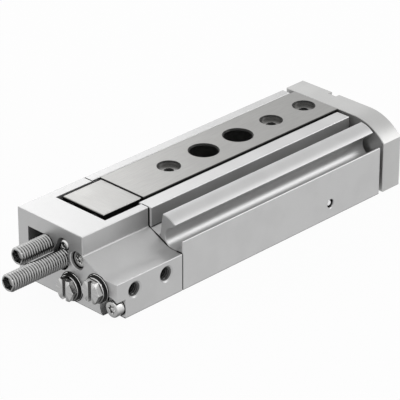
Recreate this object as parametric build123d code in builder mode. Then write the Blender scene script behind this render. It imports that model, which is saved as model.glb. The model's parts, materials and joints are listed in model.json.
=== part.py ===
from build123d import *

import math
import os

os.makedirs("parts", exist_ok=True)

# Frame: X runs across from the middle of the guide, Y along the travel from the middle
# of the two mounting bores, and Z up from the base. The table moves out towards +Y.

# Housing and travel
stroke = 40.0
body_w = 44.4
body_h = 24.0
body_len = 92.8
cover_len = 28.5
left_wall = 3.4
right_wall = 5.5
edge_chamfer = 0.2
seam_chamfer = 0.25

# Table and its guide
slide_w = 20.0
slide_t = 8.0
slide_proud = 0.4
side_gap = 0.75
slide_inset = 2.9
yoke_gap = 1.5
ball_r = 1.5
ball_clear = 0.05
ball_pitch = 5.2
ball_count = 8
cage_t = 0.4
cage_h = 6.2
cage_end = 1.2
cage_inset = 24.5
pocket_clear = 0.12
rail_t = 1.9
rail_h = 5.6
rail_inset = 0.4

# Channel under the table, measured down from the top of the housing
floor_drop = 15.1
ledge_drop = 8.0
lower_half = 9.75

# Holes in the table and the mounting bores in the floor under them
hole_pitch = 16.0
seam_to_bore = 40.1
table_thread_r = 1.65
centring_r = 3.5
centring_depth = 1.6
table_chamfer = 0.5
access_r = 4.75
mount_bore_r = 2.25
mount_head_r = 4.0
mount_seat_z = 4.4

# Cylinder, rod and gland
cyl_r = 5.0
cyl_inset = 10.4
cyl_z = 6.9
slide_fit = 0.05
rod_r = 2.5
rod_spigot_r = 1.5
piston_len = 12.0
piston_seal_w = 1.8
piston_seal_inset = 1.5
magnet_w = 2.8
piston_core_r = 3.3
gland_r = 5.5
gland_len = 16.4
gland_back = 19.8
ring_w = 1.0
ring_groove_r = 5.9
ring_inner_r = 4.3
gland_fit = 0.03
rod_seal_r = 4.0
rod_seal_w = 2.0
rod_seal_inset = 2.4
wiper_r = 4.0
wiper_w = 2.2
oring_w = 1.6
oring_depth = 1.3
oring_inset = 7.5

# Cover spigot that closes the front of the cylinder
spigot_len = 3.0
spigot_groove_r = 4.15
spigot_groove_w = 1.2
spigot_groove_inset = 1.0

# Sensor slot along the side
slot_inset = 4.2
slot_drop = 7.4
slot_r = 3.55
slot_lip_angle = 100.0
side_top_drop = 6.8
stem_foot = (-5.9, -0.7)
stem_top = (-4.8, 6.75)
lip_corner = (-4.45, 7.2)
lip_crown = (-1.5, 6.6)
lip_end = (0.8, 5.05)

# Cover outline and recess
cover_top_w = 29.45
shoulder_drop = 6.6
shoulder_fillet = 0.8
block_top_z = 13.0
block_top_w = 5.5
block_top_fillet = 6.0
cover_wall = 12.7
recess_left = 10.25
recess_right = 12.2
recess_step_drop = 7.1

# Stop block under the front of the table
block_gap = 2.1
block_half = 9.2
block_low_gap = 0.4
block_drop = 0.4

# Stop screws
stop_r = 3.0
stop_chamfer = 0.5
stop_socket_r = 2.31
stop_socket_depth = 3.5
retract_x = -0.85
retract_rise = 7.1
retract_out = 12.5
retract_tip_gap = 1.2
buffer_r = 1.7
buffer_depth = 2.5
contact_gap = 0.3
extend_x = 5.45
extend_rise = 3.9
extend_out = 22.1
extend_pocket_r = 3.6
extend_thread_in = 8.0
extend_shank_r = 1.9
washer_t = 1.2
nut_t = 4.5
nut_r = 3.4
nut_flat = 5.6
nut_fit = 0.02
shank_end = 0.8
pass_clear = 0.5

# Pocket beside the retract stop, and the recess of the clamp screw
window_left = 9.4
window_right = 4.85
window_under = 3.0
window_over = 2.9
window_depth = 5.0
clamp_x = 6.7
clamp_drop = 6.0
clamp_head_r = 2.2
clamp_head_t = 1.7
clamp_shank_r = 1.25
clamp_len = 6.6
clamp_recess_depth = 2.4
clamp_recess_w = 5.2
clamp_recess_run = 4.4
clamp_recess_tilt = 243.5
clamp_drive_r = 0.9
clamp_drive_depth = 0.9

# Screws that hold the cover
screw_r = 1.5
screw_fit = 0.02
screw_pass_r = 1.7
screw_head_r = 2.75
screw_head_h = 3.0
head_fillet = 0.3
screw_bite = 8.0
lobe_core_r = 0.95
lobe_ring_r = 1.0
lobe_r = 0.33
drive_depth = 1.4
head_recess_r = 2.95
head_recess_depth = 4.2
recess_chamfer = 0.25
upper_screw_x = 12.75
upper_screw_drop = 9.0
left_screw_x = -9.65
left_screw_z = 4.0
corner_inset = 3.0
corner_screw_z = 3.2
corner_pocket_r = 4.6
corner_pocket_depth = 3.7

# Air ports, blanking plugs and passages
port_r = 2.1
port_sink_r = 2.9
port_depth = 5.5
port_inset = 7.8
port_pitch = 13.6
port_z = 8.65
passage_r = 1.25
return_r = 1.1
return_inset = 2.8
return_z = 7.0
inner_plug_z = 5.0
outer_plug_inset = 8.35
plug_pitch = 11.65
outer_plug_z = 8.72
plug_flat = 7.0
plug_head_h = 2.3
plug_face_r = 3.7
plug_flange_r = 4.15
plug_flange_t = 0.4
plug_cone_h = 0.25
plug_shank_len = 5.0
plug_slot_w = 1.3
plug_slot_depth = 1.2
plug_fit = 0.04
seal_r = 4.75
seal_inner_r = 2.6
seal_t = 1.4
spot_r = 5.0
spot_depth = 0.3
ball_drill_set = 68.8
ball_drill_z = 5.25
end_ball_r = 1.5
ball_seat_depth = 3.6
ball_mouth_r = 1.75
ball_sunk = 0.4
ball_fit = 0.01

# Yoke plate
yoke_t = 8.6
yoke_left_set = 0.4
yoke_right_proud = 0.25
yoke_base_z = 0.3
yoke_arc_r = 18.0
yoke_arc_inset = 13.45
notch_x = 1.2
notch_w = 3.4
notch_depth = 1.9
notch_h = 5.0
yoke_screw_x = 6.5
yoke_head_depth = 3.6
yoke_bite = 7.0
dowel_x = 2.7
dowel_drop = 0.5
dowel_r = 1.25
dowel_fit = 0.01
dowel_in_yoke = 4.5
dowel_in_slide = 4.2
yoke_thread_left = -8.0
yoke_thread_low_z = 4.4
yoke_thread_dx = 20.0
yoke_thread_dz = 8.0
yoke_thread_r = 1.65
yoke_thread_depth = 7.0
rod_bite = 7.0
block_screw_x = 5.4
block_screw_drop = 0.2
block_head_depth = 3.6

# Places worked out from the sizes above
channel_half = slide_w / 2 + side_gap
body_x = -channel_half - left_wall
wall_x = channel_half + right_wall
side_x = body_x + body_w
cover_shoulder_x = body_x + cover_top_w
seam_y = -hole_pitch / 2 - seam_to_bore
front_y = seam_y - cover_len
body_rear_y = seam_y + body_len
slide_y = seam_y + slide_inset
yoke_y = body_rear_y + yoke_gap
yoke_rear_y = yoke_y + yoke_t
slide_top_z = body_h + slide_proud
slide_low_z = slide_top_z - slide_t
floor_z = body_h - floor_drop
ledge_z = body_h - ledge_drop
ball_x = slide_w / 2 + side_gap / 2
ball_z = slide_low_z + slide_t / 2
cage_len = ball_pitch * ball_count + 2 * cage_end
race_r = ball_r + ball_clear
cyl_x = side_x - cyl_inset
slot_x = side_x - slot_inset
slot_z = body_h - slot_drop
side_top_z = body_h - side_top_drop
shoulder_z = body_h - shoulder_drop
recess_step_z = body_h - recess_step_drop
retract_z = floor_z + retract_rise
extend_z = floor_z + extend_rise
window_low_z = retract_z - window_under
window_top_z = retract_z + window_over
clamp_z = body_h - clamp_drop
upper_screw_z = body_h - upper_screw_drop
yoke_screw_z = ball_z
dowel_z = ball_z - dowel_drop
block_screw_z = ball_z - block_screw_drop
return_x = side_x - return_inset
corner_x = side_x - corner_inset
outer_plug_x = side_x - outer_plug_inset
inner_plug_x = outer_plug_x - plug_pitch
recess_y = front_y + cover_wall
block_y = recess_y + block_gap
ball_drill_y = seam_y + ball_drill_set
port_ys = [front_y + port_inset, front_y + port_inset + port_pitch]
table_hole_ys = [hole_pitch * step for step in (-1.5, 1.5, 2.5)]
access_ys = [hole_pitch * step for step in (-0.5, 0.5)]


def across(y):
    """Sketch plane across the travel at y: local x is X, local y is Z, normal -Y."""
    return Plane.XZ.offset(-y)


def on_slot(point):
    """Turns a point given from the middle of the sensor slot into X and Z."""
    return (slot_x + point[0], slot_z + point[1])


def corners_at(sketch, points):
    """Picks the corners of the open sketch that lie at the given points."""
    wanted = {(round(x, 3), round(z, 3)) for x, z in points}
    return [corner for corner in sketch.vertices() if (round(corner.X, 3), round(corner.Y, 3)) in wanted]


def lobed_socket(core_r, ring_r, lobe):
    """Six-lobed drive outline, drawn in the sketch that is open."""
    Circle(core_r)
    with PolarLocations(ring_r, 6):
        Circle(lobe)


def make_screw(x, z, seat_y, length, toward):
    """Cylinder-head screw whose shank leaves its seat towards +Y (1) or -Y (-1)."""
    with BuildPart() as screw:
        with BuildSketch(across(seat_y)):
            with Locations((x, z)):
                Circle(screw_head_r)
        extrude(amount=toward * screw_head_h)
        fillet(screw.edges().sort_by(Axis.Y)[0 if toward > 0 else -1], head_fillet)
        with BuildSketch(across(seat_y)):
            with Locations((x, z)):
                Circle(screw_r)
        extrude(amount=-toward * length)
        with BuildSketch(across(seat_y - toward * screw_head_h)):
            with Locations((x, z)):
                lobed_socket(lobe_core_r, lobe_ring_r, lobe_r)
        extrude(amount=-toward * drive_depth, mode=Mode.SUBTRACT)
    return screw.part


def make_ring(x, z, y, outer_r, inner_r, width):
    """Plain ring about a Y axis that starts at y and runs towards +Y."""
    with BuildPart() as ring:
        with BuildSketch(across(y)):
            with Locations((x, z)):
                Circle(outer_r)
                Circle(inner_r, mode=Mode.SUBTRACT)
        extrude(amount=-width)
    return ring.part


def save(shape, name):
    """Labels a finished piece and writes it under its own name."""
    shape.label = name
    export_step(shape, f"parts/{name}.step")


# Housing body: an extruded section with the guide channel, sensor slot and cylinder
with BuildPart() as housing_body:
    with BuildSketch(across(seam_y)) as body_section:
        with BuildLine():
            Polyline(
                (body_x, 0),
                (body_x, body_h),
                (-channel_half, body_h),
                (-channel_half, ledge_z),
                (-lower_half, ledge_z),
                (-lower_half, floor_z),
                (lower_half, floor_z),
                (lower_half, ledge_z),
                (channel_half, ledge_z),
                (channel_half, body_h),
                (wall_x, body_h),
                (wall_x, side_top_z),
                on_slot(stem_foot),
                on_slot(stem_top),
                on_slot(lip_corner),
            )
            ThreePointArc(on_slot(lip_corner), on_slot(lip_crown), on_slot(lip_end))
            slot_arc = CenterArc((slot_x, slot_z), slot_r, slot_lip_angle, 360 - slot_lip_angle)
            Line(on_slot(lip_end), slot_arc @ 0)
            Polyline(
                slot_arc @ 1,
                (slot_x + slot_r, side_top_z),
                (side_x, side_top_z),
                (side_x, 0),
                (body_x, 0),
            )
        make_face()
        outer_corners = [
            (body_x, body_h),
            (-channel_half, body_h),
            (channel_half, body_h),
            (wall_x, body_h),
            (side_x, side_top_z),
            (side_x, 0),
            (body_x, 0),
        ]
        chamfer(corners_at(body_section, outer_corners), edge_chamfer)
    extrude(amount=-body_len)
    chamfer(housing_body.faces().sort_by(Axis.Y)[0].edges(), seam_chamfer)
    # Seats of the two hardened guide rails
    for side in (-1, 1):
        with BuildSketch(across(seam_y + rail_inset)):
            with Locations((side * (channel_half + rail_t / 2), ball_z)):
                Rectangle(rail_t, rail_h)
        extrude(amount=-(body_len - 2 * rail_inset), mode=Mode.SUBTRACT)
    # Cylinder, gland seat and the groove of its retaining ring
    with BuildSketch(across(seam_y)):
        with Locations((cyl_x, cyl_z)):
            Circle(cyl_r)
    extrude(amount=-body_len, mode=Mode.SUBTRACT)
    with BuildSketch(across(body_rear_y - gland_back)):
        with Locations((cyl_x, cyl_z)):
            Circle(gland_r)
    extrude(amount=-gland_back, mode=Mode.SUBTRACT)
    with BuildSketch(across(body_rear_y - gland_back + gland_len)):
        with Locations((cyl_x, cyl_z)):
            Circle(ring_groove_r)
    extrude(amount=-ring_w, mode=Mode.SUBTRACT)
    # Mounting bores, counterbored from the channel floor
    for bore_y in access_ys:
        with BuildSketch(Plane.XY):
            with Locations((0, bore_y)):
                Circle(mount_bore_r)
        extrude(amount=floor_z, mode=Mode.SUBTRACT)
        with BuildSketch(Plane.XY.offset(mount_seat_z)):
            with Locations((0, bore_y)):
                Circle(mount_head_r)
        extrude(amount=floor_z - mount_seat_z, mode=Mode.SUBTRACT)
    # Air passages to the rod end, and their cross drilling from the side
    for passage_x, passage_z, radius in (
        (inner_plug_x, inner_plug_z, passage_r),
        (return_x, return_z, return_r),
    ):
        with BuildSketch(across(seam_y)):
            with Locations((passage_x, passage_z)):
                Circle(radius)
        extrude(amount=-(ball_drill_set + passage_r), mode=Mode.SUBTRACT)
    with BuildSketch(Plane.YZ.offset(inner_plug_x)):
        with Locations((ball_drill_y, ball_drill_z)):
            Circle(passage_r)
    extrude(amount=side_x - inner_plug_x, mode=Mode.SUBTRACT)
    with Locations(Plane.YZ.offset(side_x)):
        with Locations((ball_drill_y, ball_drill_z)):
            CounterSinkHole(end_ball_r, ball_mouth_r, ball_seat_depth, 90)
    # Threads for the three cover screws
    with BuildSketch(across(seam_y)):
        with Locations(
            (upper_screw_x, upper_screw_z),
            (left_screw_x, left_screw_z),
            (corner_x, corner_screw_z),
        ):
            Circle(screw_r + screw_fit)
    extrude(amount=-(screw_bite + 1.0), mode=Mode.SUBTRACT)
save(housing_body.part, "housing_body")

# Front cover: carries the stops, the ports and the recess that the stop block enters
with BuildPart() as front_cover:
    with BuildSketch(across(front_y)) as cover_section:
        with BuildLine():
            Polyline(
                (body_x, 0),
                (body_x, body_h),
                (cover_shoulder_x, body_h),
                (cover_shoulder_x, shoulder_z),
                (side_x - block_top_w, block_top_z),
                (side_x, block_top_z),
                (side_x, 0),
                (body_x, 0),
            )
        make_face()
        fillet(corners_at(cover_section, [(cover_shoulder_x, shoulder_z)]), shoulder_fillet)
        fillet(corners_at(cover_section, [(side_x - block_top_w, block_top_z)]), block_top_fillet)
        outer_corners = [
            (body_x, body_h),
            (cover_shoulder_x, body_h),
            (side_x, block_top_z),
            (side_x, 0),
            (body_x, 0),
        ]
        chamfer(corners_at(cover_section, outer_corners), edge_chamfer)
    extrude(amount=-cover_len)
    chamfer(front_cover.faces().sort_by(Axis.Y)[0].edges(), edge_chamfer)
    chamfer(front_cover.faces().sort_by(Axis.Y)[-1].edges(), seam_chamfer)
    # Recess, wide at the top and narrow below the step
    with BuildSketch(Plane.XY.offset(body_h)):
        with Locations(((recess_right - recess_left) / 2, (recess_y + seam_y) / 2)):
            Rectangle(recess_left + recess_right, seam_y - recess_y)
    extrude(amount=-(body_h - recess_step_z), mode=Mode.SUBTRACT)
    with BuildSketch(Plane.XY.offset(recess_step_z)):
        with Locations((0, (recess_y + seam_y) / 2)):
            Rectangle(2 * lower_half, seam_y - recess_y)
    extrude(amount=-(recess_step_z - floor_z), mode=Mode.SUBTRACT)
    # Spigot into the cylinder, with a groove for its seal
    with BuildSketch(across(seam_y)):
        with Locations((cyl_x, cyl_z)):
            Circle(cyl_r - slide_fit)
    extrude(amount=-spigot_len)
    with BuildSketch(across(seam_y + spigot_groove_inset)):
        with Locations((cyl_x, cyl_z)):
            Circle(cyl_r)
            Circle(spigot_groove_r, mode=Mode.SUBTRACT)
    extrude(amount=-spigot_groove_w, mode=Mode.SUBTRACT)
    # Threads of the two stops and the pocket beside the upper one
    with BuildSketch(across(front_y)):
        with Locations((retract_x, retract_z), (extend_x, extend_z)):
            Circle(stop_r + slide_fit)
    extrude(amount=-cover_wall, mode=Mode.SUBTRACT)
    with BuildSketch(across(front_y)):
        with Locations((-(window_left + window_right) / 2, (window_low_z + window_top_z) / 2)):
            Rectangle(window_left - window_right, window_top_z - window_low_z)
    extrude(amount=-cover_wall, mode=Mode.SUBTRACT)
    with BuildSketch(across(front_y)):
        with Locations(((retract_x - window_left) / 2, (window_low_z + window_top_z) / 2)):
            Rectangle(window_left + retract_x, window_top_z - window_low_z)
    extrude(amount=-window_depth, mode=Mode.SUBTRACT)
    # Clamp screw: its recess runs down into the pocket around the lower stop
    with BuildSketch(across(front_y)):
        with Locations((extend_x, extend_z)):
            Circle(extend_pocket_r)
    extrude(amount=-clamp_recess_depth, mode=Mode.SUBTRACT)
    with BuildSketch(across(front_y)):
        with Locations((clamp_x, clamp_z)):
            with Locations(Rotation(0, 0, clamp_recess_tilt)):
                SlotCenterPoint((clamp_recess_run / 2, 0), (clamp_recess_run, 0), clamp_recess_w)
    extrude(amount=-clamp_recess_depth, mode=Mode.SUBTRACT)
    with BuildSketch(across(front_y)):
        with Locations((clamp_x, clamp_z)):
            Circle(clamp_shank_r + screw_fit)
    extrude(amount=-(clamp_recess_depth + clamp_len + 1.0), mode=Mode.SUBTRACT)
    # Cover screws: two counterbores and the open pocket at the corner
    with BuildSketch(across(front_y)):
        with Locations((upper_screw_x, upper_screw_z), (left_screw_x, left_screw_z)):
            Circle(head_recess_r)
    extrude(amount=-head_recess_depth, mode=Mode.SUBTRACT)
    front_circles = front_cover.faces().sort_by(Axis.Y)[0].edges().filter_by(GeomType.CIRCLE)
    chamfer([edge for edge in front_circles if abs(edge.radius - head_recess_r) < 0.01], recess_chamfer)
    with BuildSketch(across(front_y)):
        with Locations((corner_x, corner_screw_z)):
            Circle(corner_pocket_r)
    extrude(amount=-corner_pocket_depth, mode=Mode.SUBTRACT)
    with BuildSketch(across(front_y)):
        with Locations(
            (upper_screw_x, upper_screw_z),
            (left_screw_x, left_screw_z),
            (corner_x, corner_screw_z),
        ):
            Circle(screw_pass_r)
    extrude(amount=-cover_len, mode=Mode.SUBTRACT)
    # Front air connections with spot faces for their seal rings
    with BuildSketch(across(front_y)):
        with Locations((inner_plug_x, inner_plug_z), (outer_plug_x, outer_plug_z)):
            Circle(spot_r)
    extrude(amount=-spot_depth, mode=Mode.SUBTRACT)
    with BuildSketch(across(front_y)):
        with Locations((inner_plug_x, inner_plug_z), (outer_plug_x, outer_plug_z)):
            Circle(port_r)
    extrude(amount=-(plug_shank_len + 2.0), mode=Mode.SUBTRACT)
    with BuildSketch(across(front_y)):
        with Locations((inner_plug_x, inner_plug_z), (outer_plug_x, outer_plug_z)):
            Circle(passage_r)
    extrude(amount=-(cover_len + spigot_len), mode=Mode.SUBTRACT)
    # Side air ports, countersunk
    with Locations(Plane.YZ.offset(side_x)):
        with Locations(*[(port_y, port_z) for port_y in port_ys]):
            CounterSinkHole(port_r, port_sink_r, port_depth, 90)
    with BuildSketch(Plane.YZ.offset(outer_plug_x)):
        with Locations((port_ys[0], port_z)):
            Circle(passage_r)
    extrude(amount=side_x - outer_plug_x, mode=Mode.SUBTRACT)
    with BuildSketch(across(seam_y)):
        with Locations((return_x, return_z)):
            Circle(return_r)
    extrude(amount=seam_y - port_ys[1], mode=Mode.SUBTRACT)
save(front_cover.part, "front_cover")

# Guide rails: hardened strips with a round raceway, seated in the housing walls
for side, name in ((-1, "guide_rail_left"), (1, "guide_rail_right")):
    with BuildPart() as guide_rail:
        with BuildSketch(across(seam_y + rail_inset)):
            with Locations((side * (channel_half + rail_t / 2), ball_z)):
                Rectangle(rail_t, rail_h)
            with Locations((side * ball_x, ball_z)):
                Circle(race_r, mode=Mode.SUBTRACT)
        extrude(amount=-(body_len - 2 * rail_inset))
    save(guide_rail.part, name)

# Table: a steel plate with a raceway on each side
with BuildPart() as slide_table:
    with BuildSketch(across(slide_y)):
        with Locations((0, slide_low_z + slide_t / 2)):
            Rectangle(slide_w, slide_t)
    extrude(amount=-(yoke_y - slide_y))
    chamfer(slide_table.faces().sort_by(Axis.Z)[-1].edges(), edge_chamfer)
    with BuildSketch(across(slide_y)):
        with Locations((-ball_x, ball_z), (ball_x, ball_z)):
            Circle(race_r)
    extrude(amount=-(yoke_y - slide_y), mode=Mode.SUBTRACT)
    for hole_y in table_hole_ys:
        with Locations(Plane.XY.offset(slide_top_z)):
            with Locations((0, hole_y)):
                CounterBoreHole(table_thread_r, centring_r, centring_depth)
    for hole_y in access_ys:
        with Locations(Plane.XY.offset(slide_top_z)):
            with Locations((0, hole_y)):
                Hole(access_r)
    hole_mouths = slide_table.faces().sort_by(Axis.Z)[-1].edges().filter_by(GeomType.CIRCLE)
    chamfer(hole_mouths, table_chamfer)
    # Threads for the yoke screws, dowel holes, and threads for the stop block
    with BuildSketch(across(yoke_y)):
        with Locations((-yoke_screw_x, yoke_screw_z), (yoke_screw_x, yoke_screw_z)):
            Circle(screw_r + screw_fit)
    extrude(amount=yoke_bite + 1.0, mode=Mode.SUBTRACT)
    with BuildSketch(across(yoke_y)):
        with Locations((-dowel_x, dowel_z), (dowel_x, dowel_z)):
            Circle(dowel_r)
    extrude(amount=dowel_in_slide, mode=Mode.SUBTRACT)
    with BuildSketch(across(slide_y)):
        with Locations((-block_screw_x, block_screw_z), (block_screw_x, block_screw_z)):
            Circle(screw_r + screw_fit)
    extrude(amount=-(screw_bite + 1.0), mode=Mode.SUBTRACT)
save(slide_table.part, "slide_table")

# Stop block: the table's front end, which meets both stops
with BuildPart() as stop_block:
    block_low_z = floor_z + block_low_gap
    block_top = slide_top_z - block_drop
    with BuildSketch(across(block_y)):
        with Locations((0, (block_low_z + block_top) / 2)):
            Rectangle(2 * block_half, block_top - block_low_z)
    extrude(amount=-(slide_y - block_y))
    chamfer(stop_block.faces().sort_by(Axis.Z)[-1].edges(), edge_chamfer)
    with BuildSketch(across(block_y)):
        with Locations((extend_x, extend_z)):
            Circle(extend_shank_r + pass_clear)
    extrude(amount=-(slide_y - block_y), mode=Mode.SUBTRACT)
    with BuildSketch(across(block_y)):
        with Locations((-block_screw_x, block_screw_z), (block_screw_x, block_screw_z)):
            Circle(screw_pass_r)
    extrude(amount=-(slide_y - block_y), mode=Mode.SUBTRACT)
    with BuildSketch(across(block_y)):
        with Locations((-block_screw_x, block_screw_z), (block_screw_x, block_screw_z)):
            Circle(head_recess_r)
    extrude(amount=-block_head_depth, mode=Mode.SUBTRACT)
save(stop_block.part, "stop_block")

block_screw_len = slide_y - block_y - block_head_depth + screw_bite
for side, name in ((-1, "stop_block_screw_left"), (1, "stop_block_screw_right")):
    block_seat_y = block_y + block_head_depth
    save(make_screw(side * block_screw_x, block_screw_z, block_seat_y, block_screw_len, 1), name)

# Yoke plate: joins the table to the piston rod
with BuildPart() as yoke_plate:
    yoke_left = body_x + yoke_left_set
    yoke_right = side_x + yoke_right_proud
    arc_x = side_x - yoke_arc_inset
    arc_z = slide_top_z - yoke_arc_r
    arc_foot_z = arc_z + math.sqrt(yoke_arc_r**2 - (yoke_right - arc_x) ** 2)
    arc_foot_angle = math.degrees(math.asin((arc_foot_z - arc_z) / yoke_arc_r))
    with BuildSketch(across(yoke_y)):
        with BuildLine():
            Polyline(
                (arc_x, slide_top_z),
                (yoke_left, slide_top_z),
                (yoke_left, yoke_base_z),
                (yoke_right, yoke_base_z),
                (yoke_right, arc_foot_z),
            )
            CenterArc((arc_x, arc_z), yoke_arc_r, arc_foot_angle, 90 - arc_foot_angle)
        make_face()
    extrude(amount=-yoke_t)
    chamfer(yoke_plate.faces().sort_by(Axis.Y)[0].edges(), edge_chamfer)
    chamfer(yoke_plate.faces().sort_by(Axis.Y)[-1].edges(), edge_chamfer)
    # Round-ended notch in the upper rear edge
    with BuildSketch(across(yoke_rear_y)):
        with Locations((notch_x, slide_top_z - notch_h / 2)):
            Rectangle(notch_w, notch_h)
        with Locations((notch_x, slide_top_z - notch_h)):
            Circle(notch_w / 2)
    extrude(amount=notch_depth, mode=Mode.SUBTRACT)
    # Screws to the table and the rod
    with BuildSketch(across(yoke_rear_y)):
        with Locations(
            (-yoke_screw_x, yoke_screw_z),
            (yoke_screw_x, yoke_screw_z),
            (cyl_x, cyl_z),
        ):
            Circle(screw_pass_r)
    extrude(amount=yoke_t, mode=Mode.SUBTRACT)
    with BuildSketch(across(yoke_rear_y)):
        with Locations(
            (-yoke_screw_x, yoke_screw_z),
            (yoke_screw_x, yoke_screw_z),
            (cyl_x, cyl_z),
        ):
            Circle(head_recess_r)
    extrude(amount=yoke_head_depth, mode=Mode.SUBTRACT)
    with BuildSketch(across(yoke_y)):
        with Locations((-dowel_x, dowel_z), (dowel_x, dowel_z)):
            Circle(dowel_r)
    extrude(amount=-dowel_in_yoke, mode=Mode.SUBTRACT)
    # Threads on the rear face for a load
    with BuildSketch(across(yoke_rear_y)):
        with Locations((yoke_thread_left + yoke_thread_dx / 2, yoke_thread_low_z + yoke_thread_dz / 2)):
            with GridLocations(yoke_thread_dx, yoke_thread_dz, 2, 2):
                Circle(yoke_thread_r)
    extrude(amount=yoke_thread_depth, mode=Mode.SUBTRACT)
save(yoke_plate.part, "yoke_plate")

yoke_seat_y = yoke_rear_y - yoke_head_depth
yoke_screw_len = yoke_t - yoke_head_depth + yoke_bite
for side, name in ((-1, "yoke_screw_left"), (1, "yoke_screw_right")):
    save(make_screw(side * yoke_screw_x, yoke_screw_z, yoke_seat_y, yoke_screw_len, -1), name)
save(make_screw(cyl_x, cyl_z, yoke_seat_y, yoke_t - yoke_head_depth + rod_bite, -1), "rod_screw")

for side, name in ((-1, "yoke_dowel_left"), (1, "yoke_dowel_right")):
    with BuildPart() as dowel:
        with BuildSketch(across(yoke_y - dowel_in_slide)):
            with Locations((side * dowel_x, dowel_z)):
                Circle(dowel_r - dowel_fit)
        extrude(amount=-(dowel_in_slide + dowel_in_yoke))
    save(dowel.part, name)

# Piston, rod, magnet and seals
piston_y = seam_y + spigot_len + 0.8
piston_end_y = piston_y + piston_len
with BuildPart() as piston_rod:
    with BuildSketch(across(piston_end_y)):
        with Locations((cyl_x, cyl_z)):
            Circle(rod_r)
    extrude(amount=-(yoke_y - piston_end_y))
    with BuildSketch(across(piston_y)):
        with Locations((cyl_x, cyl_z)):
            Circle(rod_spigot_r)
    extrude(amount=-piston_len)
    with BuildSketch(across(yoke_y)):
        with Locations((cyl_x, cyl_z)):
            Circle(screw_r + screw_fit)
    extrude(amount=rod_bite + 1.0, mode=Mode.SUBTRACT)
save(piston_rod.part, "piston_rod")

seal_front_y = piston_y + piston_seal_inset
seal_rear_y = piston_end_y - piston_seal_inset - piston_seal_w
magnet_y = (piston_y + piston_end_y - magnet_w) / 2
with BuildPart() as piston:
    with BuildSketch(across(piston_y)):
        with Locations((cyl_x, cyl_z)):
            Circle(cyl_r - slide_fit)
            Circle(rod_spigot_r + nut_fit, mode=Mode.SUBTRACT)
    extrude(amount=-piston_len)
    for groove_y, width in (
        (seal_front_y, piston_seal_w),
        (magnet_y, magnet_w),
        (seal_rear_y, piston_seal_w),
    ):
        with BuildSketch(across(groove_y)):
            with Locations((cyl_x, cyl_z)):
                Circle(cyl_r)
                Circle(piston_core_r, mode=Mode.SUBTRACT)
        extrude(amount=-width, mode=Mode.SUBTRACT)
save(piston.part, "piston")
inner_ring_r = piston_core_r + nut_fit
outer_ring_r = cyl_r - slide_fit / 2
save(make_ring(cyl_x, cyl_z, magnet_y, cyl_r - 2 * slide_fit, inner_ring_r, magnet_w), "piston_magnet")
save(make_ring(cyl_x, cyl_z, seal_front_y, outer_ring_r, inner_ring_r, piston_seal_w), "piston_seal_front")
save(make_ring(cyl_x, cyl_z, seal_rear_y, outer_ring_r, inner_ring_r, piston_seal_w), "piston_seal_rear")

# Seal on the cover's spigot
spigot_seal_y = seam_y + spigot_groove_inset
spigot_seal_r = spigot_groove_r + nut_fit
save(make_ring(cyl_x, cyl_z, spigot_seal_y, outer_ring_r, spigot_seal_r, spigot_groove_w), "cylinder_seal")

# Rod gland with its seals and retaining ring
gland_y = body_rear_y - gland_back
rod_seal_y = gland_y + rod_seal_inset
oring_y = gland_y + oring_inset
wiper_y = gland_y + gland_len - wiper_w
with BuildPart() as rod_gland:
    with BuildSketch(across(gland_y)):
        with Locations((cyl_x, cyl_z)):
            Circle(gland_r - gland_fit)
            Circle(rod_r + slide_fit, mode=Mode.SUBTRACT)
    extrude(amount=-gland_len)
    with BuildSketch(across(oring_y)):
        with Locations((cyl_x, cyl_z)):
            Circle(gland_r)
            Circle(gland_r - oring_depth, mode=Mode.SUBTRACT)
    extrude(amount=-oring_w, mode=Mode.SUBTRACT)
    with BuildSketch(across(rod_seal_y)):
        with Locations((cyl_x, cyl_z)):
            Circle(rod_seal_r)
    extrude(amount=-rod_seal_w, mode=Mode.SUBTRACT)
    with BuildSketch(across(wiper_y)):
        with Locations((cyl_x, cyl_z)):
            Circle(wiper_r)
    extrude(amount=-wiper_w, mode=Mode.SUBTRACT)
save(rod_gland.part, "rod_gland")
rod_lip_r = rod_r + slide_fit / 2
gland_lip_r = gland_r - gland_fit / 2
gland_groove_r = gland_r - oring_depth + nut_fit
save(make_ring(cyl_x, cyl_z, rod_seal_y, rod_seal_r - nut_fit, rod_lip_r, rod_seal_w), "rod_seal")
save(make_ring(cyl_x, cyl_z, wiper_y, wiper_r - nut_fit, rod_lip_r, wiper_w), "rod_wiper")
save(make_ring(cyl_x, cyl_z, oring_y, gland_lip_r, gland_groove_r, oring_w), "gland_seal")
with BuildPart() as gland_ring:
    with BuildSketch(across(gland_y + gland_len)):
        with Locations((cyl_x, cyl_z)):
            Circle(ring_groove_r - gland_fit)
            Circle(ring_inner_r, mode=Mode.SUBTRACT)
        with Locations((cyl_x, cyl_z + ring_groove_r)):
            Rectangle(ring_inner_r, 2 * ring_groove_r - ring_inner_r, mode=Mode.SUBTRACT)
    extrude(amount=-ring_w)
save(gland_ring.part, "gland_retaining_ring")

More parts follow.
